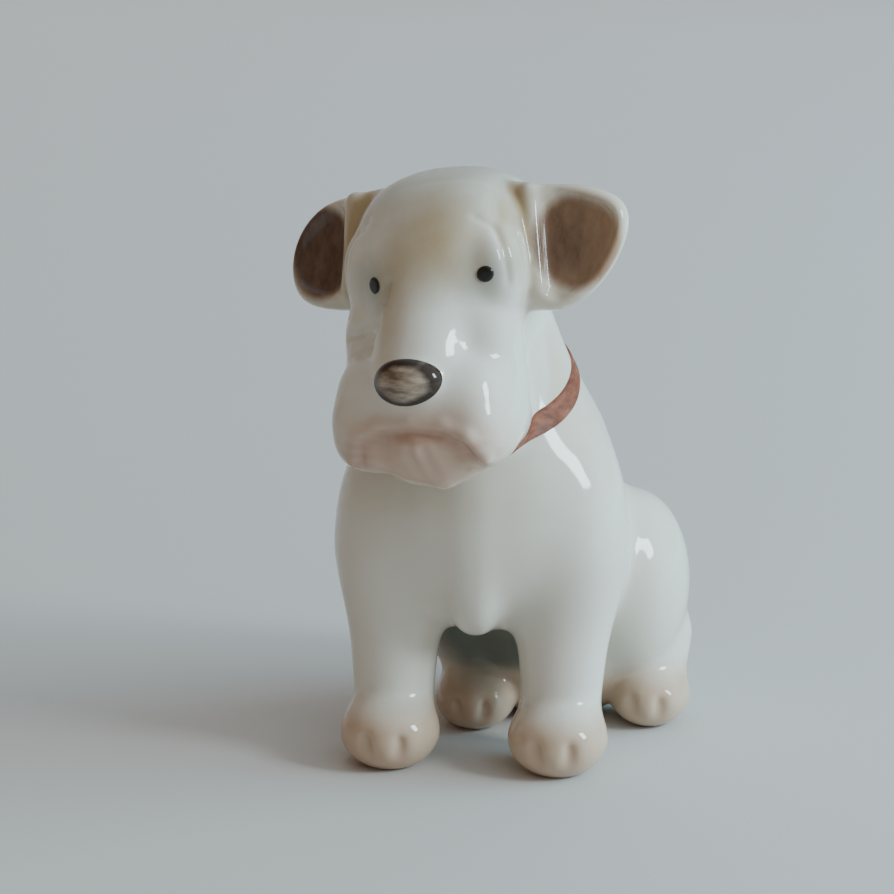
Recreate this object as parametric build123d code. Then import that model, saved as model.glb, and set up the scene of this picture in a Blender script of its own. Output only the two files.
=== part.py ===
"""Seated terrier figurine in glazed slip-cast porcelain, built as the castings that are luted together.

Millimetres, +Z up, the dog faces -Y and +X is the dog's own left.  x = 0 is the plane midway
between the forelegs.  Each casting is a group of round masses that melt into each other.  A
casting's skin is lofted through the closed curves in which that group meets a stack of planes,
and its hollow is the same stack taken one wall deeper.
"""
import os

import numpy as np
from build123d import *

# ---- driving dimensions, mm ----
WALL = 3.0                  # thickness of the slip-cast shell
LEG_SEAM_Z = 22.0           # flat seam between the body and the two forelegs
LEG_X = 11.3                # forelegs, either side of the middle plane
LEG_TOP_RADIUS = 7.0
LEG_FOOT_RADIUS = 5.3
FOREPAW_Y = -13.2
FOREPAW_RADII = (6.7, 6.9, 5.2)
CHEST_CENTRE = (0.0, -6.0, 33.0)
CHEST_RADII = (17.6, 12.5, 15.5)
KEEL_CENTRE = (0.0, -11.5, 29.0)   # the breast that juts out low between the forelegs
KEEL_RADII = (5.2, 6.4, 10.2)
NECK_TOP = 68.0             # the neck runs on inside the head up to here
HIP_X = 8.0                 # the hips are swung towards the dog's left
HIP_Y = 13.0
HAUNCH_CENTRES = ((19.0, 10.0, 19.5), (-4.0, 10.0, 19.5))
HAUNCH_RADII = (7.8, 11.0, 12.8)
RUMP_LEDGE = 0.3            # the rump mould is this much smaller than the chest mould where the two meet
HIND_PAW_CENTRES = ((21.8, 8.0), (-1.9, 3.5))
HIND_PAW_RADII = (5.6, 6.6, 4.4)
HIND_PAW_TOP = 15.0
PAW_SEAM_DEPTH = 2.5        # the hind paw seam stands this far behind the paw's centre
COLLAR_Z = 52.5             # height of the collar plane at y = 0
COLLAR_TILT = 22.5          # degrees, front low
COLLAR_WIDTH = 2.2
COLLAR_RAISE = 0.7
HEAD_ORIGIN = (-3.6, -9.5, 67.3)
HEAD_YAW = -15.0            # the head looks towards the dog's right
HEAD_ROLL = -7.0
BEARD_CENTRE = (0.0, -10.2, -21.0)   # this and the ears, nose and eyes are in head coordinates
BEARD_RADII = (6.8, 6.9, 6.8)
MUZZLE_X = -0.9             # the muzzle hangs a little to the dog's right
EAR_THICKNESS = 3.6
EAR_ROOT = (10.2, 0.5, 3.0)
EAR_TILT = -14.0            # the lower edge comes forward
EAR_SWEEP = 10.0            # the tip goes back
NOSE_CENTRE = (0.0, -17.6, -11.4)
NOSE_RADII = (4.5, 3.2, 3.0)
LEFT_EYE = (8.6, 0.5)       # x and z on the face
RIGHT_EYE = (-5.6, 0.0)
EYE_RADII = (0.95, 0.7, 0.95)
VENT_RADIUS = 2.0           # lets the hot air out of the hollow body while it is fired
VENT_PLACE = (8.0, 15.0)
TAIL_ROOT, TAIL_TIP = (11.0, 22.5, 9.0), (12.0, 27.6, 17.5)
TAIL_RADII = (3.6, 2.2)

POINTS_PER_SECTION = 36


# ---- round masses: each takes an array of points and gives the distance to its skin ----
def ellipsoid(points, centre, radii, squareness=2.0):
    scaled = np.abs((points - np.array(centre)) / radii) + 1e-9
    reach = (scaled ** squareness).sum(-1) ** (1 / squareness)
    slope = np.sqrt(((scaled ** (squareness - 1) / radii) ** 2).sum(-1))
    return (reach - 1) * reach ** (squareness - 1) / slope


def limb(points, start, end, start_radius, end_radius):
    """A rod with round ends that tapers from one ball to another."""
    start, end = np.array(start), np.array(end)
    along = end - start
    share = np.clip((points - start) @ along / (along @ along), 0, 1)
    axis_points = start + share[..., None] * along
    radius = start_radius + share * (end_radius - start_radius)
    return np.linalg.norm(points - axis_points, axis=-1) - radius


def melt(*masses, softness=5.0):
    """The union of the masses with a round fillet wherever two of them meet."""
    total = masses[0]
    for mass in masses[1:]:
        overlap = np.maximum(softness - np.abs(total - mass), 0) / softness
        total = np.minimum(total, mass) - overlap ** 3 * softness / 6
    return total


def rump_masses(points):
    hips = ellipsoid(points, (HIP_X, HIP_Y, 14.2), (16, 12.5, 15.5))
    back = limb(points, (1, 1, 38), (7, 12, 20), 14, 14.5)
    return melt(hips, back, softness=4.0)


def torso_masses(points):
    chest = ellipsoid(points, CHEST_CENTRE, CHEST_RADII)
    keel = ellipsoid(points, (0, -11.5, 30), (5.5, 6.8, 12.2))
    shoulders = [ellipsoid(points, (side * 12.2, -5.2, 30), (7.2, 9.3, 14)) for side in (-1, 1)]
    upper_legs = [foreleg_column(points, side) for side in (-1, 1)]
    neck = limb(points, (0.5, -1, 43), (-2, -4, 66), 13.8, 8.4)
    return melt(chest, keel, *shoulders, *upper_legs, neck, rump_masses(points))


def foreleg_column(points, side):
    x = side * LEG_X
    return limb(points, (x, -6.5, 27), (x, -9.5, 8), LEG_TOP_RADIUS, LEG_FOOT_RADIUS)


def foreleg_masses(points, side):
    paw = ellipsoid(points, (side * LEG_X, FOREPAW_Y, 4.4), FOREPAW_RADII)
    return melt(foreleg_column(points, side), paw, softness=3.0)


def hind_paw_masses(points, x, y):
    ankle = limb(points, (x, y + 5, 11), (x, y + 1, 5), 5.4, 4.6)
    paw = ellipsoid(points, (x, y, 3.9), HIND_PAW_RADII)
    return melt(ankle, paw, softness=3.0)


def head_masses(points):
    skull = ellipsoid(points, (0, 1.5, 1), (12, 12.5, 10.8), 2.5)
    forehead = ellipsoid(points, (0, -5, -2), (9.5, 7.5, 10), 2.4)
    bridge = limb(points, (0, -6.5, 0), (0, -13.5, -12), 6.8, 6.2)
    jaw = limb(points, (0, 0, -2), (0, -6, -15), 9.6, 9.2)
    muzzle = ellipsoid(points, (MUZZLE_X, -8, -17), (11.9, 10.2, 8.4), 3.0)
    brows = [ellipsoid(points, (side * 7.3, -5, -0.5), (5.0, 4.6, 7.6)) for side in (-1, 1)]
    cheeks = [ellipsoid(points, (MUZZLE_X + side * 7.5, -6, -9), (4.4, 5.5, 8)) for side in (-1, 1)]
    return melt(skull, forehead, bridge, jaw, muzzle, *brows, *cheeks, softness=4.0)


# ---- skins ----
def section(masses, centre, level, reach=45.0):
    """The flat face bounded by the masses' outermost outline in the level plane through the centre."""
    angles = np.linspace(0, 2 * np.pi, POINTS_PER_SECTION, endpoint=False)
    rays = np.stack((np.cos(angles), np.sin(angles), np.zeros_like(angles)), axis=-1)
    steps = np.linspace(0, reach, 450)
    values = masses(np.array(centre) + rays[:, None] * steps[None, :, None]) - level
    last_inside = steps.size - 1 - np.argmax(values[:, ::-1] < 0, axis=1)
    rows = np.arange(POINTS_PER_SECTION)
    inner, outer = values[rows, last_inside], values[rows, last_inside + 1]
    radii = steps[last_inside] + (steps[1] - steps[0]) * inner / (inner - outer)
    outline = np.array(centre) + rays * radii[:, None]
    return Face(Wire([Edge.make_spline([Vector(*point) for point in outline], periodic=True)]))


def skin(masses, centre_at, heights, level=0.0):
    """The solid lofted through the masses' sections at the given heights."""
    sections = [section(masses, (*centre_at(z), z), level) for z in heights]
    return loft(sections)


def stations(low, high, count, round_low=False, round_high=False):
    """Heights from low to high, packed closer together towards an end that closes as a dome."""
    share = np.linspace(0, 1, count)
    if round_low and round_high:
        share = (1 - np.cos(np.pi * share)) / 2
    elif round_low:
        share = share ** 1.5
    elif round_high:
        share = np.sin(np.pi * share / 2)
    return low + (high - low) * share


def torso_centre(z):
    return np.interp(z, (LEG_SEAM_Z, 42, 68), (4, 1, -2)), np.interp(z, (LEG_SEAM_Z, 42, 68), (3, -2, -4))


def rump_centre(z):
    """The same at every height z."""
    return HIP_X, HIP_Y


def head_centre(z):
    return 0.0, np.interp(z, (-25, -8, 12), (-8, -4, 1))


def on_the_face(x, z):
    """The point of the face's skin at x and z, in head coordinates."""
    probe = [(x, y, z) for y in np.linspace(0, -30, 600)]
    return min((point for point in probe if head_masses(np.array(point)) < 0), key=lambda point: point[1])


# ---- planes and places ----
collar_normal = (0, -np.sin(np.radians(COLLAR_TILT)), np.cos(np.radians(COLLAR_TILT)))
collar_plane = Plane(origin=(0, 0, COLLAR_Z), x_dir=(1, 0, 0), z_dir=collar_normal)
head_place = Location(HEAD_ORIGIN) * Rot(0, 0, HEAD_YAW) * Rot(0, HEAD_ROLL, 0)


def place_on_head(shape):
    return head_place * shape


def solid_ellipsoid(centre, radii):
    ball = Solid.make_sphere(1.0, angle1=-90, angle2=90, angle3=360)
    stretch = Matrix([[radii[0], 0, 0, centre[0]], [0, radii[1], 0, centre[1]], [0, 0, radii[2], centre[2]]])
    return ball.transform_geometry(stretch)


def keep(shape, plane, side):
    return split(shape, bisect_by=plane, keep=side)


# ---- castings ----
def make_torso(level, low_z, high_z):
    return skin(torso_masses, torso_centre, stations(low_z, high_z, 15), level)


def make_rump(level, low_z, high_z):
    return skin(rump_masses, rump_centre, stations(low_z, high_z, 7), level)


def make_head_block(level):
    low, high = -25.2 - 1.25 * level, 11.6 + 1.25 * level
    return skin(head_masses, head_centre, stations(low, high, 15, True, True), level)


def make_foreleg(side):
    def masses(points):
        return foreleg_masses(points, side)

    def centre_at(z):
        return side * LEG_X, np.interp(z, (0, 5, 14, LEG_SEAM_Z), (-12, -12, -8.8, -7.4))

    return skin(masses, centre_at, stations(0, LEG_SEAM_Z, 13, round_low=True))


def make_hind_paw(x, y):
    def masses(points):
        return hind_paw_masses(points, x, y)

    def centre_at(z):
        return x, np.interp(z, (0, 5, HIND_PAW_TOP), (y, y, y + 4.5))

    whole = skin(masses, centre_at, stations(0, HIND_PAW_TOP, 10, True, True))
    seam = Plane(origin=(x, y + PAW_SEAM_DEPTH, 0), x_dir=(1, 0, 0), z_dir=(0, 1, 0))
    return keep(whole, seam, Keep.BOTTOM)


def make_ear():
    """The dog's left ear in head coordinates: a thick leaf with a dish sunk in its front."""
    outline = [(-4, 4), (-2, 6.8), (3, 7.1), (8.2, 6.3), (12.0, 3.4),
               (12.7, 0.2), (10.6, -4.4), (6.6, -8.0), (1, -9.0), (-3, -7)]
    hollow = [(3.2, 4.6), (7.6, 4.2), (10.4, 2.0), (9.2, -1.8), (6.4, -5.2), (3.6, -6.2)]
    leaf_edge = Edge.make_spline([Vector(x, 0, z) for x, z in outline], periodic=True)
    leaf = extrude(Face(Wire([leaf_edge])), amount=EAR_THICKNESS / 2, dir=(0, 1, 0), both=True)
    leaf = leaf.fillet(EAR_THICKNESS * 0.33, leaf.edges())
    dish_edge = Edge.make_spline([Vector(x, -EAR_THICKNESS / 2 - 0.5, z) for x, z in hollow], periodic=True)
    dish = extrude(Face(Wire([dish_edge])), amount=EAR_THICKNESS * 0.4 + 0.5, dir=(0, 1, 0))
    return Location(EAR_ROOT) * Rot(EAR_TILT, 0, EAR_SWEEP) * (leaf - dish)


def make_tail():
    """A short docked tail, upright behind the rump."""
    root, tip = Vector(TAIL_ROOT), Vector(TAIL_TIP)
    axis = Plane(origin=root, z_dir=tip - root)
    stub = axis * Cone(*TAIL_RADII, (tip - root).length, align=(Align.CENTER, Align.CENTER, Align.MIN))
    return stub + Location(tip) * Sphere(TAIL_RADII[1])


def largest(shape):
    """The main solid of a cut, without any crumb the cut left beside it."""
    return max(shape.solids(), key=lambda solid: solid.volume)


def make_collar(torso, head_block):
    """A thin band that stands proud of the neck, between two planes parallel to the collar plane."""
    half = COLLAR_WIDTH / 2
    sleeve = make_torso(COLLAR_RAISE, 40.0, 66.0)
    sleeve = keep(sleeve, collar_plane.offset(half), Keep.BOTTOM)
    sleeve = keep(sleeve, collar_plane.offset(-half), Keep.TOP)
    return sleeve - torso - head_block


def build_parts():
    torso = make_torso(0.0, LEG_SEAM_Z, NECK_TOP)
    torso_hollow = make_torso(-WALL, LEG_SEAM_Z + WALL, NECK_TOP)
    rump = make_rump(-RUMP_LEDGE, 0.0, LEG_SEAM_Z)
    rump_hollow = make_rump(-WALL - RUMP_LEDGE, WALL, LEG_SEAM_Z + WALL)
    head_block = place_on_head(make_head_block(0.0) + solid_ellipsoid(BEARD_CENTRE, BEARD_RADII))
    head_hollow = place_on_head(make_head_block(-WALL))

    neck = keep(torso, collar_plane, Keep.TOP)
    body = keep(torso, collar_plane, Keep.BOTTOM) + rump + solid_ellipsoid(KEEL_CENTRE, KEEL_RADII)
    for centre in HAUNCH_CENTRES:
        body = body + keep(solid_ellipsoid(centre, HAUNCH_RADII), Plane.XY, Keep.TOP)
    head = head_block + neck

    hind_paws = [make_hind_paw(x, y) for x, y in HIND_PAW_CENTRES]
    forelegs = [make_foreleg(side) - body for side in (1, -1)]
    tail = make_tail() - body
    ears = [place_on_head(make_ear()) - head, place_on_head(mirror(make_ear(), about=Plane.YZ)) - head]
    nose = place_on_head(solid_ellipsoid(NOSE_CENTRE, NOSE_RADII))
    eyes = [place_on_head(solid_ellipsoid(on_the_face(x, z), EYE_RADII)) for x, z in (LEFT_EYE, RIGHT_EYE)]

    body = body - torso_hollow - rump_hollow - head_block
    for paw in hind_paws:
        body = body - paw
    body = body - Location((*VENT_PLACE, 0)) * Cylinder(VENT_RADIUS, 3 * WALL)
    head = head - head_hollow - keep(torso_hollow, collar_plane.offset(-WALL), Keep.TOP)
    head = head - nose - eyes[0] - eyes[1]

    return {
        "body_casting": body,
        "head_casting": head,
        "left_ear": ears[0],
        "right_ear": ears[1],
        "left_foreleg": forelegs[0],
        "right_foreleg": forelegs[1],
        "left_hind_paw": hind_paws[0],
        "right_hind_paw": hind_paws[1],
        "tail": tail,
        "collar_band": make_collar(torso, head_block),
        "nose_pad": nose,
        "left_eye": eyes[0],
        "right_eye": eyes[1],
    }


def export_all(parts):
    """Move the origin to the centre of the footprint and write one STEP per named sub-part."""
    os.makedirs("parts", exist_ok=True)
    box = Compound(list(parts.values())).bounding_box()
    to_origin = Location((-box.center().X, -box.center().Y, -box.min.Z))
    for name, solid in parts.items():
        placed = to_origin * largest(solid)
        placed.label = name
        export_step(placed, f"parts/{name}.step")


export_all(build_parts())
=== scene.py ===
"""Visual model of a seated porcelain terrier, with its floor, lights and camera.

The skin is modelled as one body of clay: a distance field in millimetres, in the figurine's own frame,
where +Z is up, the chest faces -Y and x = 0 lies midway between the forelegs.  Round masses melt into
each other, creases and ridges are drawn over them, and the result is softened as glaze softens it.
The skin is then parted along the seams of the castings, so each piece is an object of its own.
Collar, nose and eyes are thin raised coats of enamel that follow the skin.
"""
import math

import bpy
import numpy as np
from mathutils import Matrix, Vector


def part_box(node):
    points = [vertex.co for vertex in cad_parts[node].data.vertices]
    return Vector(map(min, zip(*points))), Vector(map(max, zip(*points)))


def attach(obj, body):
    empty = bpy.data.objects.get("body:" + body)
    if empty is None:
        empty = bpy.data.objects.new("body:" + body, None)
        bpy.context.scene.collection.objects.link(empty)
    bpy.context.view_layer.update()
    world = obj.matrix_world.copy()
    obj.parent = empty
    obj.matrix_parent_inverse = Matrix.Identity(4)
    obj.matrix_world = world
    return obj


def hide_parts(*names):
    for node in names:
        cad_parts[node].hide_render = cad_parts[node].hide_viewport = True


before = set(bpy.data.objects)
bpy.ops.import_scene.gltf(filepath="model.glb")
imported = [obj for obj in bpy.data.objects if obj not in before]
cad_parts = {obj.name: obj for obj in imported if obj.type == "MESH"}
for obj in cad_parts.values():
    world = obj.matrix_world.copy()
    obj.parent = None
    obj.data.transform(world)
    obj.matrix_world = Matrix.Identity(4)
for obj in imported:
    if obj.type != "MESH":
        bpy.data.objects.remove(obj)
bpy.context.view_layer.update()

import openvdb
from mathutils import Vector

MM = 0.001
STEP = 0.3      # spacing of the sculpting grid, mm
GLAZE_SOFTNESS = 0.34                   # how far the glaze rounds every edge, mm

# ---- driving dimensions, mm ----
LEG_X = 11.3
LEG_SEAM_Z = 22.0                       # each foreleg is a casting of its own below this height
LEG_SEAM_SWELL = 1.2                    # how far a foreleg's own region reaches beyond its masses
FOREPAW_RADII = (6.7, 6.9, 5.2)
FOREPAW_Y, FOREPAW_Z = -13.2, 4.4
HIND_PAWS = ((21.8, 8.0), (-1.9, 3.5))  # x and y of the left and of the right hind paw
HIND_PAW_RADII = (5.6, 6.6, 4.4)
HIND_PAW_Z = 3.9
HIND_SEAM_SWELL = 0.9
PAW_SEAM_DEPTH = 2.5                    # the hind paw's seam lies this far behind its middle
TAIL_SEAM_Y, TAIL_SEAM_SWELL = 24.6, 1.0
VENT_PLACE, VENT_RADIUS, VENT_DEPTH = (8.0, 15.0), 2.0, 6.0
COLLAR_Z = 52.5
COLLAR_TILT = 22.5                      # degrees, low at the throat
COLLAR_WIDTH = 2.2
HEAD_ORIGIN = (-3.6, -9.5, 67.3)
HEAD_YAW = -15.0                        # degrees
HEAD_ROLL = -7.0                        # degrees
EAR_ROOT = (10.4, 0.5, 3.0)
EAR_TILT = -14.0                        # degrees
EAR_SWEEP = 10.0                        # degrees
EAR_SEAM_X = 12.6                       # sideways from the middle of the head
EAR_SEAM_Z = -9.5
EYES = {"left_eye": (9.1, 0.5), "right_eye": (-5.4, 0.0)}     # x and z on the face
EYE_RADII = (1.0, 1.05)
MUZZLE_X = -0.9                         # the muzzle hangs a little to the dog's right
NOSE_X, NOSE_Z = 0.4, -11.3
NOSE_RADII = (4.6, 3.0)

# Lines on the face, as (x, z) stations: the ridge of the upper lip, and the line of painted shade in the
# crease below it.
LIP_RIDGE = ((-9.0, -21.8), (-7.6, -18.4), (-4.4, -17.0), (0, -16.6), (4.4, -17.2), (7.4, -18.7),
             (8.8, -22.0))
LIP_PAINT = ((-9.0, -22.2), (-7.2, -19.8), (-4.2, -18.5), (0, -18.2), (4.2, -18.7), (7.2, -20.2),
             (8.6, -22.6))

# Paint on the right ear (-1) and the left ear (1), measured outwards from the root: the middle of the
# dark dish, half its width, and the middle of the ochre strip.
EAR_PAINT = {-1: (8.1, 4.6, 0.9), 1: (7.3, 5.9, -0.8)}

# The figurine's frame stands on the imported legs: midway between them, level with the front of the paws.
left_leg, right_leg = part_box("left_foreleg"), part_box("right_foreleg")
MIDDLE_X = (left_leg[1][0] + right_leg[0][0]) / 2
MIDDLE_Y = left_leg[0][1] - (FOREPAW_Y - FOREPAW_RADII[1]) * MM


# ---- places ----
def turn(yaw=0.0, pitch=0.0, roll=0.0):
    """Rotation matrix whose columns are the turned axes, from angles in degrees.

    The roll about Y comes first, then the pitch about X, then the yaw about Z.
    """
    a, b, c = (math.radians(angle) for angle in (yaw, pitch, roll))
    about_z = np.array([[math.cos(a), -math.sin(a), 0], [math.sin(a), math.cos(a), 0], [0, 0, 1]])
    about_x = np.array([[1, 0, 0], [0, math.cos(b), -math.sin(b)], [0, math.sin(b), math.cos(b)]])
    about_y = np.array([[math.cos(c), 0, math.sin(c)], [0, 1, 0], [-math.sin(c), 0, math.cos(c)]])
    return about_z @ about_x @ about_y


class Place:
    """An origin and three axes in the figurine's frame."""

    def __init__(self, origin=(0, 0, 0), axes=None):
        self.origin = np.array(origin, float)
        self.axes = np.eye(3) if axes is None else axes

    def outward(self, point):
        return self.axes @ np.array(point, float) + self.origin

    def inside(self, origin, axes=None):
        return Place(self.outward(origin), self.axes @ (np.eye(3) if axes is None else axes))

    def local(self, x, y, z):
        """The coordinates of points, given as three arrays, along this place's axes."""
        offset = [v - np.float32(o) for v, o in zip((x, y, z), self.origin)]
        axes = self.axes.astype(np.float32)
        return [a[0] * offset[0] + a[1] * offset[1] + a[2] * offset[2] for a in axes.T]

    def local_points(self, points):
        return (points - self.origin) @ self.axes


BODY = Place()
HEAD = Place(HEAD_ORIGIN, turn(yaw=HEAD_YAW, roll=HEAD_ROLL))


def ear_place(side):
    """Ear coordinates: x outwards from the root, y backwards, z up; mirrored for the right ear."""
    mirrored = np.diag([side, 1, 1])
    turned = turn(yaw=EAR_SWEEP, pitch=EAR_TILT)
    return HEAD.inside((side * EAR_ROOT[0], EAR_ROOT[1], EAR_ROOT[2]), mirrored @ turned)


# ---- masses: (lowest corner, highest corner, distance function of three coordinate arrays) ----
def ellipsoid(place, centre, radii, squareness=2.0):
    """An ellipsoid; a squareness above 2 makes it boxier."""
    seat = place.inside(centre)
    radii = np.array(radii, np.float32)
    power = np.float32(squareness)

    def distance(x, y, z):
        scaled = [np.abs(v) / r + np.float32(1e-6) for v, r in zip(seat.local(x, y, z), radii)]
        reach = sum(v ** power for v in scaled) ** (1 / power)
        slope = np.sqrt(sum((v ** (power - 1) / r) ** 2 for v, r in zip(scaled, radii)))
        return (reach - 1) * reach ** (power - 1) / slope

    extent = np.abs(seat.axes) @ radii
    return seat.origin - extent, seat.origin + extent, distance


def limb(place, start, end, start_radius, end_radius):
    """A rod with round ends that tapers from one ball to another."""
    start, end = place.outward(start), place.outward(end)
    along = end - start

    def distance(x, y, z):
        offset = [v - np.float32(o) for v, o in zip((x, y, z), start)]
        share = sum(v * np.float32(a) for v, a in zip(offset, along)) / np.float32(along @ along)
        share = np.clip(share, 0, 1)
        gap = sum((v - share * np.float32(a)) ** 2 for v, a in zip(offset, along))
        return np.sqrt(gap) - (start_radius + share * np.float32(end_radius - start_radius))

    low = np.minimum(start - start_radius, end - end_radius)
    high = np.maximum(start + start_radius, end + end_radius)
    return low, high, distance


def flowing(outline, cuts=3):
    """A closed outline that flows smoothly through the points of the given one."""
    start = np.array(outline, float)
    before, end, after = (np.roll(start, shift, axis=0) for shift in (1, -1, -2))
    stations = []
    for share in np.arange(cuts) / cuts:
        bend = share * ((end - before) + share * ((2 * before - 5 * start + 4 * end - after)
                                                  + share * (3 * start - before - 3 * end + after)))
        stations.append(start + 0.5 * bend)
    return np.stack(stations, axis=1).reshape(-1, 2)


def leaf(place, outline, half_thickness, rounding):
    """A plate in the place's xz plane inside a closed outline, every edge rounded."""
    outline = flowing(outline)

    def distance(x, y, z):
        x, y, z = place.local(x, y, z)
        nearest = np.full(np.broadcast(x, z).shape, np.inf, np.float32)
        sign = np.ones_like(nearest)
        for here, before in zip(outline, np.roll(outline, 1, axis=0)):
            edge = (before - here).astype(np.float32)
            dx, dz = x - np.float32(here[0]), z - np.float32(here[1])
            share = np.clip((dx * edge[0] + dz * edge[1]) / (edge @ edge), 0, 1)
            nearest = np.minimum(nearest, (dx - share * edge[0]) ** 2 + (dz - share * edge[1]) ** 2)
            above, below, left = z >= here[1], z < before[1], edge[0] * dz > edge[1] * dx
            sign = np.where((above & below & left) | (~above & ~below & ~left), -sign, sign)
        across = sign * np.sqrt(nearest)
        through = np.abs(y) - np.float32(half_thickness)
        outside = np.sqrt(np.maximum(across, 0) ** 2 + np.maximum(through, 0) ** 2)
        return np.minimum(np.maximum(across, through), 0) + outside - np.float32(rounding)

    middle = (outline.min(0) + outline.max(0)) / 2
    half = (outline.max(0) - outline.min(0)) / 2 + rounding
    centre = place.outward((middle[0], 0, middle[1]))
    extent = np.abs(place.axes) @ np.array((half[0], half_thickness + rounding, half[1]))
    return centre - extent, centre + extent, distance


def melted(a, b, softness):
    """Smooth minimum of two distances."""
    overlap = np.maximum(np.float32(softness) - np.abs(a - b), 0) / np.float32(softness)
    return np.minimum(a, b) - overlap ** 3 * np.float32(softness / 6)


class Clay:
    """The distance to the sculpted skin, kept on a grid.

    A mass is added or cut with a softness: how far it melts into the clay around it, in millimetres.
    """

    def __init__(self, low, high, step, far=6.0):
        self.low = np.array(low, float)
        self.step = step
        self.far = far
        self.shape = np.ceil((np.array(high) - self.low) / step).astype(int) + 1
        self.field = np.full(self.shape, far, np.float32)

    def window(self, low, high):
        """The cells between two corners, and the coordinates of their points along x, y and z."""
        first = np.maximum(0, np.floor((low - self.low) / self.step).astype(int))
        last = np.minimum(self.shape, np.ceil((high - self.low) / self.step).astype(int) + 1)
        cells = tuple(slice(a, b) for a, b in zip(first, last))
        x, y, z = (low + self.step * np.arange(a, b) for low, a, b in zip(self.low, first, last))
        x, y, z = (axis.astype(np.float32) for axis in (x, y, z))
        return cells, x[:, None, None], y[None, :, None], z[None, None, :]

    def add(self, mass, softness):
        low, high, distance = mass
        cells, x, y, z = self.window(low - softness - 2, high + softness + 2)
        self.field[cells] = melted(self.field[cells], distance(x, y, z), softness)

    def cut(self, mass, softness):
        low, high, distance = mass
        cells, x, y, z = self.window(low - softness - 1, high + softness + 1)
        self.field[cells] = -melted(-self.field[cells], distance(x, y, z), softness)

    def level_ground(self):
        """Nothing reaches below the table."""
        heights = self.low[2] + self.step * np.arange(self.shape[2])
        self.field = np.maximum(self.field, -heights[None, None, :].astype(np.float32))

    def soften(self, radius):
        """Gaussian blur of the field, the way a coat of glaze fills creases and rounds edges."""
        sigma = radius / self.step
        reach = max(1, math.ceil(sigma * 2.5))
        weights = np.exp(-0.5 * (np.arange(-reach, reach + 1) / sigma) ** 2)
        weights = (weights / weights.sum()).astype(np.float32)
        for axis in range(3):
            margin = [(0, 0)] * 3
            margin[axis] = (reach, reach)
            padded = np.pad(self.field, margin, mode="edge")
            total = np.zeros_like(self.field)
            for shift, weight in enumerate(weights):
                cells = [slice(None)] * 3
                cells[axis] = slice(shift, shift + self.field.shape[axis])
                total += weight * padded[tuple(cells)]
            self.field = total

    def sample(self, points):
        grid = (points - self.low) / self.step
        cell = np.clip(np.floor(grid).astype(int), 0, self.shape - 2)
        share = np.clip(grid - cell, 0, 1)
        total = np.zeros(len(points))
        for corner in np.ndindex(2, 2, 2):
            weight = np.prod(np.where(np.array(corner), share, 1 - share), axis=1)
            i, j, k = (cell + corner).T
            total += weight * self.field[i, j, k]
        return total

    def slope(self, points):
        reach = 0.75 * self.step
        rises = [self.sample(points + s) - self.sample(points - s) for s in reach * np.eye(3)]
        return np.stack(rises, axis=1) / (2 * reach)

    def depth_at(self, place, x, z, start=-30.0, end=0.0, stations=400):
        """Where a line running backwards at (x, z) of a place first meets the skin, as the place's y."""
        depths = np.linspace(start, end, stations)
        line = np.stack((np.full(stations, x), depths, np.full(stations, z)), axis=1)
        values = self.sample(line @ place.axes.T + place.origin)
        return depths[np.argmax(values < 0)]

    def skin(self):
        """Points, four-sided faces and outward normals of the skin."""
        grid = openvdb.FloatGrid(self.far)
        grid.copyFromArray(np.clip(self.field, -self.far, self.far))
        points, faces = grid.convertToQuads(isovalue=0.0)
        points = np.array(points, float) * self.step + self.low
        for _ in range(3):                              # pull the points exactly onto the skin
            slope = self.slope(points)
            move = self.sample(points) / np.maximum((slope ** 2).sum(1), 0.05)
            points -= np.clip(move, -self.step, self.step)[:, None] * slope
        normals = self.slope(points)
        normals /= np.linalg.norm(normals, axis=1, keepdims=True) + 1e-12
        return points, np.array(faces), normals


def draw(clay, place, path, radius, depth, softness, raised=False):
    """A line drawn over the skin through the (x, z) stations of a path: a crease, or a raised ridge."""
    seats = []
    for x, z in path:
        skin_y = clay.depth_at(place, x, z)
        seats.append((x, skin_y + (radius - depth if raised else depth - radius), z))
    for start, end in zip(seats, seats[1:]):
        stroke = limb(place, start, end, radius, radius)
        if raised:
            clay.add(stroke, softness)
        else:
            clay.cut(stroke, softness)


# ---- the sculpture ----
def foreleg_column(side, swell=0.0):
    x = side * LEG_X
    return limb(BODY, (x * 1.01, -6.5, 27), (x, -9.7, 8), 7.0 + swell, 5.3 + swell)


def foreleg_paw(side, swell=0.0):
    return ellipsoid(BODY, (side * LEG_X, FOREPAW_Y, FOREPAW_Z), [r + swell for r in FOREPAW_RADII])


def hind_ankle(x, y, swell=0.0):
    return limb(BODY, (x, y + 5, 11), (x, y + 1, 5), 5.4 + swell, 4.6 + swell)


def hind_paw(x, y, swell=0.0):
    return ellipsoid(BODY, (x, y, HIND_PAW_Z), [r + swell for r in HIND_PAW_RADII])


def tail_stub(swell=0.0):
    return limb(BODY, (11, 22.5, 9.0), (12.0, 27.0, 16.5), 3.4 + swell, 2.3 + swell)


def sculpt_trunk(clay):
    chest = ellipsoid(BODY, (0, -6, 33), (17.6, 12.5, 15.5))
    keel = ellipsoid(BODY, (0.2, -12.0, 31), (3.9, 6.3, 12.8), 2.6)
    neck = limb(BODY, (0.5, -1, 43), (-2.0, -4, 66), 13.8, 8.4)
    back = limb(BODY, (1, 1, 38), (7, 12, 20), 14, 14.5)
    rump = ellipsoid(BODY, (8, 13, 14.2), (16, 12.5, 15.5))
    clay.add(chest, 1)
    clay.add(keel, 3.4)
    for side in (-1, 1):
        shoulder = ellipsoid(BODY, (side * 12.2, -5.2, 30), (7.2, 9.3, 14))
        clay.add(shoulder, 5)
    clay.add(neck, 8)
    clay.add(back, 8)
    clay.add(rump, 6)


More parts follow.
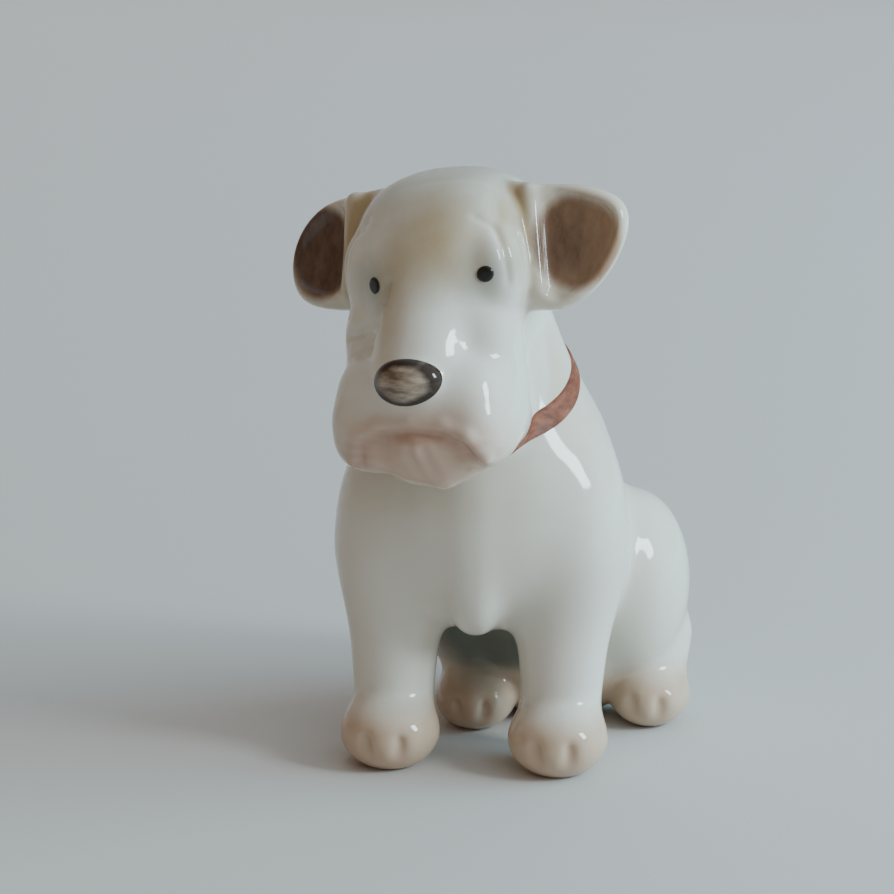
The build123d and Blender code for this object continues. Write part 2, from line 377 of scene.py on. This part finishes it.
def sculpt_legs(clay):
    for x in (19.0, -4.0):
        haunch = ellipsoid(BODY, (x, 10, 19.5), (7.9, 11, 12.8))
        clay.add(haunch, 4)
    for x, y in HIND_PAWS:
        clay.add(hind_ankle(x, y), 3)
        clay.add(hind_paw(x, y), 2)
    clay.add(tail_stub(), 2.5)
    for side in (-1, 1):
        clay.add(foreleg_column(side), 5)
        clay.add(foreleg_paw(side), 3)


def sculpt_toes(clay):
    """Two shallow grooves part the toes of each paw."""
    paws = [(side * LEG_X, FOREPAW_Y, FOREPAW_Z, FOREPAW_RADII) for side in (-1, 1)]
    paws += [(x, y, HIND_PAW_Z, HIND_PAW_RADII) for x, y in HIND_PAWS]
    for x, y, z, radii in paws:
        for side in (-1, 1):
            toe_x = x + side * radii[0] * 0.33
            front = y - radii[1] * 0.93
            groove = limb(BODY, (toe_x, front - 1.0, 0.3), (toe_x, front + 0.6, z + 0.6), 0.7, 0.45)
            clay.cut(groove, 2.0)


def sculpt_vent(clay):
    """The round firing vent in the underside."""
    vent = limb(BODY, (*VENT_PLACE, -1), (*VENT_PLACE, VENT_DEPTH), VENT_RADIUS, VENT_RADIUS)
    clay.cut(vent, 0.6)


def sculpt_head(clay):
    skull = ellipsoid(HEAD, (0, 1.5, 1.5), (12, 12.5, 10.9), 2.5)
    brow = ellipsoid(HEAD, (0, -5.0, -2), (9.5, 7.5, 10), 2.4)
    bridge = limb(HEAD, (0, -6.5, 0), (0, -13.5, -12), 6.6, 6.2)
    jaw = limb(HEAD, (0, 0, -2), (0, -6, -15), 9.6, 9.2)
    muzzle = ellipsoid(HEAD, (MUZZLE_X, -8.0, -16.6), (11.9, 10.2, 8.4), 3.0)
    clay.add(skull, 5)
    for mass in (brow, bridge, jaw):
        clay.add(mass, 4)
    clay.add(muzzle, 2.5)
    for side in (-1, 1):
        cheek = ellipsoid(HEAD, (MUZZLE_X + side * 7.5, -6, -9), (4.4, 5.5, 8))
        eye_patch = ellipsoid(HEAD, (side * 7.4, -5.1, 0.2), (5.0, 5.2, 6.6), 2.2)
        flew = ellipsoid(HEAD, (MUZZLE_X + side * 7.4, -11.5, -18.5), (4.6, 6.6, 5.6), 2.4)
        clay.add(cheek, 3)
        clay.add(eye_patch, 1.2)
        clay.add(flew, 2.0)


def sculpt_mouth(clay):
    """The flews hang either side of an arched lip; a short furrowed beard fills the arch."""
    arch = ellipsoid(HEAD, (0, -20.8, -22.6), (7.9, 4.6, 5.3), 2.6)
    beard = ellipsoid(HEAD, (0.6, -11.8, -20.4), (8.0, 6.4, 5.9), 2.2)
    beard_tip = limb(HEAD, (0.9, -14.9, -20.0), (2.1, -14.4, -24.3), 4.4, 1.9)
    clay.cut(arch, 1.3)
    clay.add(beard, 0.8)
    clay.add(beard_tip, 1.6)
    for place_in_row in (-1.5, -0.5, 0.5, 1.5):
        x = place_in_row * 2.6
        furrow = limb(HEAD, (x + 0.6, -19.5, -20.4), (x * 0.75 + 1.6, -17.1, -25.8), 0.9, 0.7)
        clay.cut(furrow, 0.9)
    draw(clay, HEAD, LIP_RIDGE, radius=1.0, depth=0.45, softness=1.1, raised=True)
    crease = [(x * 0.93, z - 1.25) for x, z in LIP_RIDGE]
    draw(clay, HEAD, crease, radius=0.55, depth=0.35, softness=0.5)


def sculpt_face(clay):
    """Folds below and outside each eye, deeper on the dog's right, and the raised nose."""
    below_eye = [(-3.0, 0.4), (-3.6, -1.8), (-6.0, -4.6), (-8.6, -6.4), (-11.0, -7.2)]
    below_fold = [(-4.6, -4.4), (-6.6, -6.8), (-9.2, -8.8)]
    beside_eye = [(7.6, 7.6), (9.8, 6.0), (11.3, 3.0), (11.6, -1.0), (11.4, -4.4)]
    draw(clay, HEAD, below_eye, radius=0.6, depth=0.75, softness=0.7)
    draw(clay, HEAD, below_fold, radius=0.55, depth=0.45, softness=0.8)
    draw(clay, HEAD, [(-x, z) for x, z in beside_eye], radius=0.6, depth=0.5, softness=1.0)
    draw(clay, HEAD, beside_eye, radius=0.45, depth=0.14, softness=0.5)
    nose_ball = ellipsoid(HEAD, (NOSE_X, -17.6, NOSE_Z), (4.3, 2.9, 3.0))
    clay.add(nose_ball, 1.0)


def sculpt_ear(clay, side, outline, dish, ridge_x):
    """A thick leaf with a dish sunk in its front and a ridge folded along its root."""
    ear = ear_place(side)
    flap = leaf(ear, outline, 0.2, 1.8)
    hollow = leaf(ear.inside((0, -2.9, 0)), dish, 0.8, 1.4)
    ridge = limb(ear, (ridge_x, -1.3, 5.6), (ridge_x + 0.6, -1.6, -6.6), 1.45, 1.15)
    clay.add(flap, 1.2)
    clay.cut(hollow, 1.0)
    clay.add(ridge, 0.9)


def sculpt_ears(clay):
    """The left ear ends in a raised tip, the right ear in a low round lobe."""
    tipped = [(-2, 4.8), (3, 5.0), (7.6, 4.6), (10.6, 3.6), (12.0, 2.2), (11.6, -0.4), (9.8, -3.6),
              (7.4, -6.2), (4.8, -7.5), (2.2, -7.6), (-2, -6.2)]
    tipped_dish = [(3.6, 3.9), (8.2, 3.4), (11.0, 2.0), (10.7, -0.4), (8.6, -4.1), (6.0, -6.0),
                   (3.8, -6.2)]
    lobed = [(-2, 4.8), (3, 4.8), (7.2, 3.8), (10.0, 1.4), (11.3, -1.6), (11.1, -4.6), (9.2, -6.3),
             (3.6, -6.8), (-2, -6.2)]
    lobed_dish = [(5.2, 3.6), (7.4, 2.8), (9.8, 0.6), (10.6, -1.8), (10.4, -4.0), (8.4, -4.9),
                  (5.4, -4.6)]
    sculpt_ear(clay, 1, tipped, tipped_dish, 1.2)
    sculpt_ear(clay, -1, lobed, lobed_dish, 2.6)


def sculpt():
    clay = Clay((-34, -36, -4), (34, 36, 84), STEP)
    sculpt_trunk(clay)
    sculpt_legs(clay)
    sculpt_toes(clay)
    clay.level_ground()
    sculpt_vent(clay)
    sculpt_head(clay)
    sculpt_mouth(clay)
    sculpt_face(clay)
    sculpt_ears(clay)
    clay.soften(GLAZE_SOFTNESS)
    return clay


# ---- seams between the castings: negative inside the casting's own region ----
def distance_of(mass, points):
    """How far each point is outside a mass."""
    return mass[2](points[:, 0], points[:, 1], points[:, 2]).astype(float)


def collar_height(points):
    """Signed distance above the collar plane."""
    tilt = math.radians(COLLAR_TILT)
    return (points[:, 2] - COLLAR_Z) * math.cos(tilt) - points[:, 1] * math.sin(tilt)


def ear_region(side):
    def region(points):
        x, y, z = HEAD.local_points(points).T
        return np.maximum(EAR_SEAM_X - side * x, EAR_SEAM_Z - z)
    return region


def foreleg_region(side):
    def region(points):
        column = distance_of(foreleg_column(side, LEG_SEAM_SWELL), points)
        paw = distance_of(foreleg_paw(side, LEG_SEAM_SWELL), points)
        return np.maximum(np.minimum(column, paw), points[:, 2] - LEG_SEAM_Z)
    return region


def hind_paw_region(x, y):
    def region(points):
        ankle = distance_of(hind_ankle(x, y, HIND_SEAM_SWELL), points)
        paw = distance_of(hind_paw(x, y, HIND_SEAM_SWELL), points)
        return np.maximum(np.minimum(ankle, paw), points[:, 1] - (y + PAW_SEAM_DEPTH))
    return region


def tail_region(points):
    return np.maximum(distance_of(tail_stub(TAIL_SEAM_SWELL), points), TAIL_SEAM_Y - points[:, 1])


def head_region(points):
    return -collar_height(points)


def slide_to_seam(points, normals, border, region):
    """Moves the border points along the skin until they lie on the seam of a region."""
    nudge = 0.05                            # mm, for measuring the region's slope
    for _ in range(3):
        here = points[border]
        rises = [region(here + s) - region(here - s) for s in nudge * np.eye(3)]
        slope = np.stack(rises, axis=1) / (2 * nudge)
        along_skin = slope - (slope * normals[border]).sum(1, keepdims=True) * normals[border]
        size = np.maximum((along_skin ** 2).sum(1, keepdims=True), 0.3)
        points[border] -= np.clip(region(here), -0.4 * STEP, 0.4 * STEP)[:, None] * along_skin / size


def part_skin(points, faces, normals, regions):
    """Names the casting each face belongs to; the first region that holds a face takes it."""
    owner = np.full(len(faces), "body_casting", dtype=object)
    free = np.ones(len(faces), bool)
    for name, region in regions.items():
        middles = points[faces].mean(axis=1)
        inside = free & (region(middles) < 0)
        owner[inside] = name
        border = np.intersect1d(faces[inside], faces[free & ~inside])
        free &= ~inside
        slide_to_seam(points, normals, border, region)
    return owner


# ---- painting: how strongly each underglaze colour lies at each point ----
def smooth(values, low, high):
    """0 below the low value, 1 above the high one, and a smooth step between them."""
    share = np.clip((values - low) / (high - low), 0, 1)
    return share * share * (3 - 2 * share)


def patch(local, centre, radii, edge):
    """1 inside an ellipsoid, fading to 0 over a band of its edge."""
    reach = np.sqrt((((local - np.array(centre)) / radii) ** 2).sum(1))
    return 1 - smooth(reach, 1 - edge, 1 + edge)


def paint_brow(head, forward):
    """Ochre over the dog's left brow and down the bridge; grey on the skull and round the eyes."""
    ochre = 0.95 * patch(head, (3.0, -7, 4.8), (5.0, 12, 5.6), 0.9)
    ochre += 0.50 * patch(head, (-2.4, -12, -3.6), (2.4, 9, 7.0), 0.9)
    grey = 0.68 * patch(head, (0, 0, 12.5), (11.5, 13, 6.0), 0.7)
    for x, z in EYES.values():
        halo = patch(head, (x, -10, z), (3.1, 7, 2.9), 0.95)
        grey = np.maximum(grey, halo * forward)
    return {"ochre": ochre, "grey": grey}


def paint_muzzle(head):
    """Blush on the beard and over the flews, and a darker line under the lip that is painted shade in the
    crease.
    """
    blush = 0.95 * patch(head, (0, -15, -22.0), (10.5, 9, 5.6), 0.55)
    blush += 0.5 * patch(head, (0, -17, -17.4), (11.5, 8, 3.6), 0.9)
    # painted shade along the crease under the lip
    crease = np.zeros(len(head))
    for start, end in zip(LIP_PAINT, LIP_PAINT[1:]):
        for share in (0.0, 0.5):
            x, z = np.array(start) * (1 - share) + np.array(end) * share
            crease = np.maximum(crease, 0.75 * patch(head, (x, -17, z), (2.2, 6, 0.9), 0.95))
    return {"blush": blush, "crease": crease}


def paint_ear(points, normals, side):
    """A dark dish inside a cream rim, and an ochre strip along the root.

    The dish of the left ear pales outwards; the right one is dark all over.
    """
    dish_x, dish_width, strip_x = EAR_PAINT[side]
    place = ear_place(side)
    ear = place.local_points(points)
    front = smooth(-(normals @ place.axes)[:, 1], -0.1, 0.5)
    rim = 0.7 * smooth(ear[:, 0], strip_x + 0.8, strip_x + 1.8) * front
    dish = patch(ear, (dish_x, -1, -1.0), (dish_width, 6, 6.1), 0.18) * front
    heart = patch(ear, (5.0, -1, -1.0), (5.0, 8, 6.5), 0.9)
    darkness = 0.15 + 0.75 * heart if side == 1 else 1.0
    strip = patch(ear, (strip_x, -1.0, 0.0), (2.1, 6, 7.5), 0.5) * smooth(-ear[:, 1], -3.5, 0.0)
    return {"umber": dish * darkness, "fawn": dish, "cream": rim * (1 - dish), "ochre": 1.5 * strip}


def paint(points, normals):
    """Strength of each colour at each point of the skin, from 0 to 1."""
    head = HEAD.local_points(points)
    forward = smooth(-(normals @ HEAD.axes)[:, 1], -0.2, 0.5)
    ears = [paint_ear(points, normals, side) for side in (-1, 1)]
    colours = {**paint_brow(head, forward), **paint_muzzle(head)}
    for name in ("umber", "fawn", "cream"):
        colours[name] = np.maximum(ears[0][name], ears[1][name])
    colours["ochre"] += ears[0]["ochre"] + ears[1]["ochre"]
    above_collar = smooth(collar_height(points), -0.5, 0.5)
    colours = {name: np.clip(strength, 0, 1) * above_collar for name, strength in colours.items()}
    colours["ochre"] *= np.maximum(forward, 0.35)
    throat = smooth(collar_height(points), -14, -2) * (1 - above_collar)
    colours["cream"] = np.maximum(colours["cream"], 0.35 * throat)
    rump = smooth(points[:, 1], 9.0, 13.0)
    colours["paws"] = (1 - smooth(points[:, 2], 5.5, 10.5)) * (1 - 0.8 * rump)
    # Painted shade: a dark green-grey patch on the belly and haunches between the legs, where little
    # light reaches.
    between_legs = patch(points, (0.8, 1.0, 14.5), (9.5, 8.0, 7.5), 0.5)
    colours["shade_between_legs"] = between_legs * smooth(points[:, 2], 7.2, 9.4)
    return colours


# ---- objects ----
CAP_SINK = 0.6      # how deep a rim's cap is sunk, as a share of the rim's spread


def to_frame(points):
    """Points of the figurine's frame, in millimetres, as metres in the shared frame."""
    return np.array(points) * MM + np.array((MIDDLE_X, MIDDLE_Y, 0.0))


def rims(faces):
    """The open edges of a mesh joined up into separate rims, each turning against its own faces."""
    edges = np.concatenate([np.stack((faces[:, (i + 1) % 4], faces[:, i]), axis=1) for i in range(4)])
    keys = np.sort(edges, axis=1)
    where, count = np.unique(keys, axis=0, return_inverse=True, return_counts=True)[1:]
    open_edges = edges[count[where.ravel()] == 1]
    next_point = dict(open_edges.tolist())
    loops = []
    while next_point:
        start, here = next(iter(next_point.items()))
        del next_point[start]
        loop = [start]
        while here in next_point:
            loop.append(here)
            here = next_point.pop(here)
        loops.append(loop)
    return loops


def outward_faces(points, faces, normals):
    """The faces, reversed if most of them turn against the normals."""
    corners = points[faces]
    turned = np.cross(corners[:, 2] - corners[:, 0], corners[:, 3] - corners[:, 1])
    against = (turned * normals[faces].mean(axis=1)).sum() < 0
    return faces[:, ::-1] if against else faces


def close_rims(points, faces, normals):
    """Shuts every open rim with a fan of triangles around a point sunk behind the skin."""
    caps = []
    for loop in rims(faces):
        rim = points[loop]
        sink = CAP_SINK * rim.std(axis=0).max()
        middle = rim.mean(axis=0) - sink * normals[loop].mean(axis=0)
        caps += [(a, b, len(points)) for a, b in zip(loop, loop[1:] + loop[:1])]
        points = np.vstack((points, middle))
        normals = np.vstack((normals, (0, 0, 1)))
    return points, normals, caps


def build_object(name, points, faces, normals, colours, material):
    """A closed mesh object with smooth glaze normals and its painted colours."""
    used, faces = np.unique(faces, return_inverse=True)
    faces = faces.reshape(-1, 4)
    points, normals = points[used], normals[used]
    faces = outward_faces(points, faces, normals)
    points, normals, caps = close_rims(points, faces, normals)
    mesh = bpy.data.meshes.new(name)
    mesh.from_pydata(to_frame(points).tolist(), [], faces.tolist() + caps)
    for colour, strength in colours.items():
        layer = mesh.attributes.new(colour, "FLOAT", "POINT")
        padded = np.pad(strength[used], (0, len(points) - len(used)))
        layer.data.foreach_set("value", padded.astype(np.float32))
    mesh.shade_smooth()
    mesh.normals_split_custom_set_from_vertices(normals.tolist())
    mesh.materials.append(material)
    piece = bpy.data.objects.new(name, mesh)
    bpy.context.scene.collection.objects.link(piece)
    return piece


# ---- materials ----
class Shader:
    """Short calls for building one node material."""

    def __init__(self, name):
        self.material = bpy.data.materials.new(name)
        self.material.use_nodes = True
        self.tree = self.material.node_tree
        self.bsdf = self.tree.nodes["Principled BSDF"]

    def node(self, kind, **inputs):
        node = self.tree.nodes.new(kind)
        for key, value in inputs.items():
            self.feed(node.inputs[key.replace("_", " ")], value)
        return node

    def feed(self, socket, value):
        if isinstance(value, bpy.types.NodeSocket):
            self.tree.links.new(value, socket)
        else:
            socket.default_value = value

    def strength(self, name):
        node = self.tree.nodes.new("ShaderNodeAttribute")
        node.attribute_name = name
        return node.outputs["Fac"]

    def noise(self, scale, detail=3.0, roughness=0.5, stretch=(1, 1, 1)):
        place = self.tree.nodes.new("ShaderNodeTexCoord").outputs["Object"]
        spread = self.node("ShaderNodeMapping", Vector=place, Scale=stretch).outputs[0]
        fineness = {"Scale": scale, "Detail": detail, "Roughness": roughness}
        return self.node("ShaderNodeTexNoise", Vector=spread, **fineness).outputs["Fac"]

    def arithmetic(self, operation, a, b):
        node = self.tree.nodes.new("ShaderNodeMath")
        node.operation = operation
        self.feed(node.inputs[0], a)
        self.feed(node.inputs[1], b)
        return node.outputs[0]

    def remap(self, value, low, high, new_low, new_high):
        node = self.node("ShaderNodeMapRange", Value=value)
        node.clamp = True
        for index, bound in enumerate((low, high, new_low, new_high), start=1):
            node.inputs[index].default_value = bound
        return node.outputs[0]

    def mix(self, share, under, over):
        node = self.tree.nodes.new("ShaderNodeMix")
        node.data_type = "RGBA"
        self.feed(node.inputs["Factor"], share)
        for socket, value in zip((node.inputs[6], node.inputs[7]), (under, over)):
            self.feed(socket, value if isinstance(value, bpy.types.NodeSocket) else (*value, 1.0))
        return node.outputs[2]

    def bump(self, height, strength, distance):
        relief = self.node("ShaderNodeBump", Height=height, Strength=strength, Distance=distance)
        return relief.outputs[0]


def glaze(shader, colour, roughness=0.06, waviness=0.10):
    """A glossy glaze over a colour, with faint waves, fine pits and an uneven gloss."""
    waves = shader.noise(160, 2.0)
    pits = shader.arithmetic("MULTIPLY", shader.noise(2600, 2.0), 0.04)
    relief = shader.arithmetic("ADD", waves, pits)
    uneven = shader.remap(shader.noise(420), 0.3, 0.7, roughness * 0.8, roughness * 1.5)
    shader.feed(shader.bsdf.inputs["Base Color"], colour)
    shader.feed(shader.bsdf.inputs["Roughness"], uneven)
    shader.feed(shader.bsdf.inputs["Normal"], shader.bump(relief, waviness, 0.0006))
    shader.bsdf.inputs["IOR"].default_value = 1.5
    return shader.material


def brushed_on(shader, under, name, texture, unevenness, most, tint):
    """One colour laid over what is under it where its strength says, broken up by a brush texture."""
    strength = shader.strength(name)
    share = shader.arithmetic("ADD", strength, shader.arithmetic("MULTIPLY", texture, unevenness))
    share = shader.arithmetic("MULTIPLY", share, shader.remap(strength, 0.0, 0.15, 0.0, 1.0))
    return shader.mix(shader.remap(share, 0.04, 0.96, 0.0, most), under, tint)


def porcelain():
    """White glaze with the painted underglaze colours shining through it, plus painted shade between the
    legs and under the lip.
    """
    shader = Shader("painted_porcelain")
    soft_brush = shader.arithmetic("SUBTRACT", shader.noise(330, 4.0, 0.6), 0.5)
    fine_brush = shader.arithmetic("SUBTRACT", shader.noise(1100, 4.0, 0.65, (1.0, 1.0, 0.3)), 0.5)
    white = shader.mix(shader.noise(70, 3.0), (0.675, 0.625, 0.54), (0.70, 0.655, 0.58))
    specks = shader.remap(shader.noise(1500, 1.0), 0.72, 0.78, 0.0, 0.10)
    colour = shader.mix(specks, white, (0.42, 0.36, 0.30))
    grain = shader.remap(shader.noise(600, 4.0, 0.6, (1, 1, 0.4)), 0.35, 0.65, 0.0, 1.0)
    umber = shader.mix(grain, (0.085, 0.045, 0.030), (0.15, 0.085, 0.058))
    layers = (      # painted colour, brush, how uneven, thickest share, tint
        # painted shade between the legs
        ("shade_between_legs", soft_brush, 0.20, 0.85, (0.115, 0.145, 0.125)),
        ("paws", soft_brush, 0.25, 0.85, (0.52, 0.35, 0.235)),
        ("grey", soft_brush, 0.25, 0.80, (0.33, 0.315, 0.255)),
        ("cream", soft_brush, 0.25, 0.75, (0.52, 0.43, 0.30)),
        ("ochre", soft_brush, 0.30, 0.88, (0.42, 0.30, 0.155)),
        ("blush", soft_brush, 0.30, 0.85, (0.56, 0.37, 0.27)),
        # painted shade in the crease under the lip
        ("crease", fine_brush, 0.20, 0.65, (0.38, 0.185, 0.13)),
        ("fawn", fine_brush, 0.25, 0.95, (0.42, 0.25, 0.145)),
        ("umber", fine_brush, 0.30, 1.0, umber),
    )
    for name, texture, unevenness, most, tint in layers:
        colour = brushed_on(shader, colour, name, texture, unevenness, most, tint)
    return glaze(shader, colour)


def enamel(name, dark, light, scale, stretch=(1, 1, 1), roughness=0.10):
    """Brushed enamel: streaks of a darker and a lighter tone under the glaze."""
    shader = Shader(name)
    streaks = shader.remap(shader.noise(scale, 4.0, 0.6, stretch), 0.35, 0.68, 0.0, 1.0)
    return glaze(shader, shader.mix(streaks, dark, light), roughness, 0.06)


def nose_enamel():
    """A dark brushed ring round a paler middle."""
    shader = Shader("nose_enamel")
    streaks = shader.remap(shader.noise(340, 4.0, 0.6, (0.7, 0.7, 2.8)), 0.38, 0.62, 0.0, 1.0)
    middle = shader.mix(streaks, (0.15, 0.105, 0.075), (0.46, 0.37, 0.28))
    uneven = shader.arithmetic("MULTIPLY", shader.noise(300, 4.0), 1.1)
    ring = shader.remap(shader.arithmetic("ADD", shader.strength("ring"), uneven), 0.80, 1.45, 0.0, 1.0)
    return glaze(shader, shader.mix(ring, middle, (0.026, 0.013, 0.007)), 0.10, 0.06)


def floor_paint():
    """A matt pale paint that grows paler with the distance behind the figurine, a painted brightening
    that stands in for the light on the far table and backdrop.
    """
    shader = Shader("floor_paint")
    tone = shader.mix(shader.noise(14, 3.0), (0.56, 0.53, 0.50), (0.585, 0.555, 0.525))
    place = shader.tree.nodes.new("ShaderNodeTexCoord").outputs["Object"]
    depth = shader.node("ShaderNodeSeparateXYZ", Vector=place).outputs["Y"]
    # painted light: the far table and backdrop paler than the near floor
    tone = shader.mix(shader.remap(depth, 0.0, 0.7, 0.0, 1.0), tone, (0.86, 0.83, 0.81))
    shader.feed(shader.bsdf.inputs["Base Color"], tone)
    shader.feed(shader.bsdf.inputs["Normal"], shader.bump(shader.noise(900, 2.0), 0.04, 0.0004))
    shader.bsdf.inputs["Roughness"].default_value = 0.75
    return shader.material


# ---- enamel pieces: thin raised patches that follow the skin ----
COAT_DEPTH = 0.8        # how far a coat reaches below the skin, mm
COAT_STEP = 0.2         # spacing of a coat's own grid, mm


def raised_patch(name, clay, low, high, region, raise_by, edge, material, colours_of=None):
    """A thin coat over the skin wherever the region's distance is negative, with a rounded rim."""
    coat = Clay(low, high, min(COAT_STEP, STEP * 0.6))
    cells, x, y, z = coat.window(coat.low, np.array(high))
    x, y, z = np.broadcast_arrays(x, y, z)
    points = np.stack((x.ravel(), y.ravel(), z.ravel()), axis=1).astype(float)
    skin = clay.sample(points)
    shape = np.maximum(skin - raise_by, -skin - COAT_DEPTH)
    solid = -melted(-shape, -region(points), edge)
    coat.field[cells] = solid.reshape(x.shape)
    points, faces, normals = coat.skin()
    colours = colours_of(points) if colours_of else {}
    piece = build_object(name, points, faces, normals, colours, material)
    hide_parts(name)
    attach(piece, "root")


def spot_region(place, x, z, radii):
    """An oval spot on the front of a place."""
    def region(points):
        local = place.local_points(points)
        across = np.hypot((local[:, 0] - x) / radii[0], (local[:, 2] - z) / radii[1])
        front_only = local[:, 1] + 4.0
        return np.maximum((across - 1) * min(radii), front_only)
    return region


def spot_box(clay, place, x, z, reach):
    """Two corners of a box around the point of the skin at (x, z) of a place."""
    centre = place.outward((x, clay.depth_at(place, x, z), z))
    return centre - reach, centre + reach


def build_collar(clay, material):
    low, high = (-17, -19, 40), (17, 13, 61)

    def region(points):
        return np.maximum(np.abs(collar_height(points)) - COLLAR_WIDTH / 2, low[2] - points[:, 2])

    raised_patch("collar_band", clay, low, high, region, raise_by=0.28, edge=0.5, material=material)


def build_nose(clay, material):
    def ring(points):
        x, _, z = HEAD.local_points(points).T
        across = np.hypot((x - NOSE_X) / NOSE_RADII[0], (z - NOSE_Z) / NOSE_RADII[1])
        return {"ring": smooth(across, 0.45, 0.92)}

    low, high = spot_box(clay, HEAD, NOSE_X, NOSE_Z, 6.0)
    region = spot_region(HEAD, NOSE_X, NOSE_Z, NOSE_RADII)
    raised_patch("nose_pad", clay, low, high, region, raise_by=0.22, edge=0.4,
                 material=material, colours_of=ring)


def build_eyes(clay, material):
    for name, (x, z) in EYES.items():
        low, high = spot_box(clay, HEAD, x, z, 2.6)
        region = spot_region(HEAD, x, z, EYE_RADII)
        raised_patch(name, clay, low, high, region, raise_by=0.2, edge=0.3, material=material)


def build_castings(clay, material):
    points, faces, normals = clay.skin()
    colours = paint(points, normals)
    regions = {
        "left_ear": ear_region(1),
        "right_ear": ear_region(-1),
        "left_foreleg": foreleg_region(1),
        "right_foreleg": foreleg_region(-1),
        "left_hind_paw": hind_paw_region(*HIND_PAWS[0]),
        "right_hind_paw": hind_paw_region(*HIND_PAWS[1]),
        "tail": tail_region,
        "head_casting": head_region,
    }
    owner = part_skin(points, faces, normals, regions)
    for name in ("body_casting", *regions):
        piece = build_object(name, points, faces[owner == name], normals, colours, material)
        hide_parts(name)
        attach(piece, "root")


# ---- floor, lights and camera ----
FLOOR_PROFILE = ((-6.0, 0.0), (1.2, 0.0), (1.5, 0.03), (1.75, 0.15), (1.9, 0.4), (1.95, 1.6))    # y, z
FLOOR_HALF_WIDTH = 4.0
ROOM_BRIGHTNESS = 0.95
BRIGHT_SIDE = (0.84, 0.38, 0.42)                # where the daylight comes from
DIM_TONE = (0.30, 0.225, 0.155, 1)
BRIGHT_TONE = (0.92, 1.07, 1.18, 1)
DIM_UNTIL, BRIGHT_FROM = 0.34, 0.90             # 0 faces away from the bright side, 1 faces it
LIGHTS_AIM = (0, 0, 0.045)
CAMERA_AZIMUTH, CAMERA_ELEVATION = 8, 15        # degrees
CAMERA_DISTANCE = 0.45
CAMERA_LENS, CAMERA_SENSOR = 134.4, 36          # mm
CAMERA_TARGET = (-5.45, 0, 40.3)                # mm, in the figurine's frame


def build_floor():
    """A pale table that curves up into a backdrop far behind."""
    corners = [(side * FLOOR_HALF_WIDTH, y, z) for y, z in FLOOR_PROFILE for side in (-1, 1)]
    faces = [(2 * i, 2 * i + 1, 2 * i + 3, 2 * i + 2) for i in range(len(FLOOR_PROFILE) - 1)]
    mesh = bpy.data.meshes.new("floor")
    mesh.from_pydata(corners, [], faces)
    mesh.shade_smooth()
    mesh.materials.append(floor_paint())
    floor = bpy.data.objects.new("floor", mesh)
    bpy.context.scene.collection.objects.link(floor)


def aim(thing, location, target):
    thing.location = location
    thing.rotation_mode = "QUATERNION"
    thing.rotation_quaternion = (Vector(target) - Vector(location)).to_track_quat("-Z", "Y")
    bpy.context.scene.collection.objects.link(thing)


def soft_light(name, location, size, power, colour, reflected=True):
    light = bpy.data.lights.new(name, "AREA")
    light.shape = "RECTANGLE"
    light.size, light.size_y = size
    light.energy = power
    light.color = colour
    lamp = bpy.data.objects.new(name, light)
    lamp.visible_glossy = reflected
    aim(lamp, location, LIGHTS_AIM)


def build_room():
    """Daylight that falls off from a cool right-hand side to a dim warm left."""
    world = bpy.data.worlds.new("room")
    bpy.context.scene.world = world
    world.use_nodes = True
    tree = world.node_tree
    direction = tree.nodes.new("ShaderNodeTexCoord").outputs["Generated"]
    towards = tree.nodes.new("ShaderNodeVectorMath")
    towards.operation = "DOT_PRODUCT"
    towards.inputs[1].default_value = Vector(BRIGHT_SIDE).normalized()
    tree.links.new(direction, towards.inputs[0])
    ramp = tree.nodes.new("ShaderNodeValToRGB")
    ramp.color_ramp.interpolation = "EASE"
    ramp.color_ramp.elements[0].position = DIM_UNTIL
    ramp.color_ramp.elements[0].color = DIM_TONE
    ramp.color_ramp.elements[1].position = BRIGHT_FROM
    ramp.color_ramp.elements[1].color = BRIGHT_TONE
    half = tree.nodes.new("ShaderNodeMapRange")
    half.inputs[1].default_value = -1.0
    tree.links.new(towards.outputs["Value"], half.inputs[0])
    tree.links.new(half.outputs[0], ramp.inputs[0])
    background = tree.nodes["Background"]
    tree.links.new(ramp.outputs[0], background.inputs[0])
    background.inputs[1].default_value = ROOM_BRIGHTNESS


def build_lights():
    build_room()
    soft_light("window", location=(0.42, -0.12, 0.26), size=(0.105, 0.15), power=1.6,
               colour=(0.76, 0.93, 1.0))
    soft_light("sky", location=(0.85, 0.20, 0.30), size=(0.6, 0.5), power=11.0,
               colour=(0.44, 0.80, 1.0), reflected=False)


def build_camera():
    azimuth, elevation = math.radians(CAMERA_AZIMUTH), math.radians(CAMERA_ELEVATION)
    level = math.cos(elevation)
    back = Vector((math.sin(azimuth) * level, -math.cos(azimuth) * level, math.sin(elevation)))
    target = Vector(to_frame(CAMERA_TARGET))
    camera = bpy.data.cameras.new("camera")
    camera.sensor_width = CAMERA_SENSOR
    camera.lens = CAMERA_LENS
    camera.clip_start = 0.01
    holder = bpy.data.objects.new("camera", camera)
    aim(holder, target + back * CAMERA_DISTANCE, target)
    bpy.context.scene.camera = holder


clay = sculpt()
build_castings(clay, porcelain())
rust_red = enamel("collar_enamel", dark=(0.13, 0.036, 0.018), light=(0.27, 0.085, 0.042), scale=500,
                  stretch=(1, 1, 2.5), roughness=0.5)
black = enamel("eye_enamel", dark=(0.004, 0.0035, 0.003), light=(0.012, 0.010, 0.009), scale=900)
build_collar(clay, rust_red)
build_nose(clay, nose_enamel())
build_eyes(clay, black)
build_floor()
build_lights()
build_camera()
